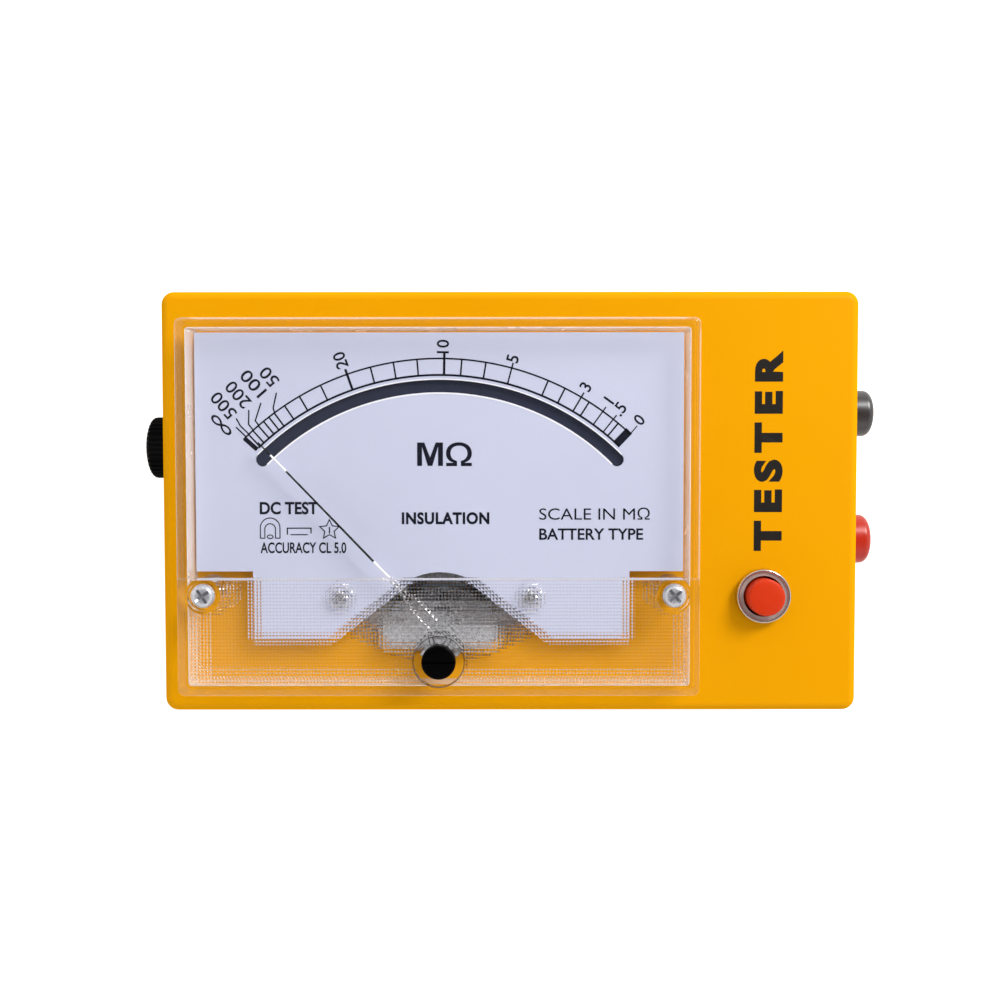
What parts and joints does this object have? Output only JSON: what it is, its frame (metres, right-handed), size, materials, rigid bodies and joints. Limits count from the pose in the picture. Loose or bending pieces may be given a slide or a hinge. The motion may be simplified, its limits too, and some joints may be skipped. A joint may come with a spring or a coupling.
{
  "type": "insulation resistance tester",
  "caption": "Flat box tester with a mirror-scale needle meter under a clear stepped cover, a push button, a fluted knob on one end wall and plug sockets on the other.",
  "frame": {"origin": "centre of the case's back face, which the tester lies on", "axes": "+X to the right along the case's length towards the sockets, +Y towards the upper edge of the dial, +Z out of the dial"},
  "size_m": [0.193, 0.1046, 0.0626],
  "materials": {
    "yellow_abs": "satin moulded ABS",
    "clear_acrylic": "clear moulded acrylic",
    "dial_white": "matt white paint with printed scale",
    "dial_mirror": "dark mirror strip",
    "black_plastic": "glossy moulded phenolic",
    "red_plastic": "glossy moulded plastic",
    "chrome": "bright plate",
    "zinc_steel": "zinc plate",
    "aluminium": "bright turned",
    "soft_iron": "dull grey",
    "brass": "plain",
    "enamelled_copper": "enamelled winding wire",
    "circuit_board": "green solder mask",
    "cell_sleeve": "printed sleeve"
  },
  "bodies": {
    "case": {"front_case": "yellow_abs", "rear_cover": "yellow_abs", "meter_cover": "clear_acrylic", "dial_plate": "dial_white", "dial_mirror": "dial_mirror", "switch_block": "black_plastic", "black_socket_head": "black_plastic", "black_socket_wire": "black_plastic", "battery_holder": "black_plastic", "red_socket_head": "red_plastic", "red_socket_wire": "red_plastic", "button_bezel": "chrome", "rear_screw_1": "zinc_steel", "rear_screw_2": "zinc_steel", "rear_screw_3": "zinc_steel", "rear_screw_4": "zinc_steel", "cover_screw_left": "zinc_steel", "cover_screw_right": "zinc_steel", "dial_screw_left": "zinc_steel", "dial_screw_right": "zinc_steel", "frame_screw_left": "zinc_steel", "frame_screw_right": "zinc_steel", "button_spring": "zinc_steel", "button_nut": "zinc_steel", "potentiometer_nut": "zinc_steel", "black_socket_nut": "zinc_steel", "red_socket_nut": "zinc_steel", "battery_contact_lower": "zinc_steel", "battery_contact_upper": "zinc_steel", "meter_frame": "aluminium", "potentiometer": "aluminium", "yoke_ring": "soft_iron", "core_magnet": "soft_iron", "transformer_core": "soft_iron", "core_support": "brass", "upper_bridge": "brass", "lower_bridge": "brass", "upper_jewel_screw": "brass", "lower_jewel_screw": "brass", "lower_hairspring": "brass", "black_socket_contact": "brass", "red_socket_contact": "brass", "transformer_winding": "enamelled_copper", "circuit_board": "circuit_board", "filter_capacitor": "cell_sleeve", "battery_cell_1": "cell_sleeve", "battery_cell_2": "cell_sleeve", "battery_cell_3": "cell_sleeve", "battery_cell_4": "cell_sleeve"},
    "moving_system": {"pointer": "black_plastic", "moving_coil": "enamelled_copper", "upper_staff": "zinc_steel", "lower_staff": "zinc_steel"},
    "zero_adjuster": {"zero_adjuster": "black_plastic"},
    "zero_lever": {"zero_lever": "brass", "upper_hairspring": "brass"},
    "button": {"button_cap": "red_plastic"},
    "knob": {"knob": "black_plastic", "knob_shaft": "zinc_steel"},
    "battery_door": {"battery_door": "yellow_abs"}
  },
  "joints": [
    {"name": "pointer_swing", "type": "hinge", "parent": "case", "child": "moving_system", "pos_m": [-0.0172, -0.0328, 0.0504], "axis": [0, 0, -1], "range_deg": [-1.5, 86.5], "stiffness_Nm_per_rad": 0.00002},
    {"name": "zero_adjuster_turn", "type": "hinge", "parent": "case", "child": "zero_adjuster", "pos_m": [-0.0172, -0.0377, 0.0604], "axis": [0, 0, 1], "range_deg": [-45, 45]},
    {"name": "zero_lever_turn", "type": "hinge", "parent": "case", "child": "zero_lever", "pos_m": [-0.0172, -0.0328, 0.0545], "axis": [0, 0, 1], "range_deg": [-8, 8]},
    {"name": "button_press", "type": "slide", "parent": "case", "child": "button", "axis": [0, 0, -1], "range_m": [0, 0.0025], "stiffness_N_per_m": 800, "springref_m": -0.001, "deforming": ["button_spring"]},
    {"name": "knob_turn", "type": "hinge", "parent": "case", "child": "knob", "pos_m": [-0.0865, 0.0139, 0.025], "axis": [-1, 0, 0], "range_deg": [-150, 150]},
    {"name": "battery_door_slide", "type": "slide", "parent": "case", "child": "battery_door", "axis": [1, 0, 0], "range_m": [0, 0.058]}
  ],
  "couplings": [
    {"joint": "zero_lever_turn", "follows": "zero_adjuster_turn", "ratio": 0.17}
  ]
}
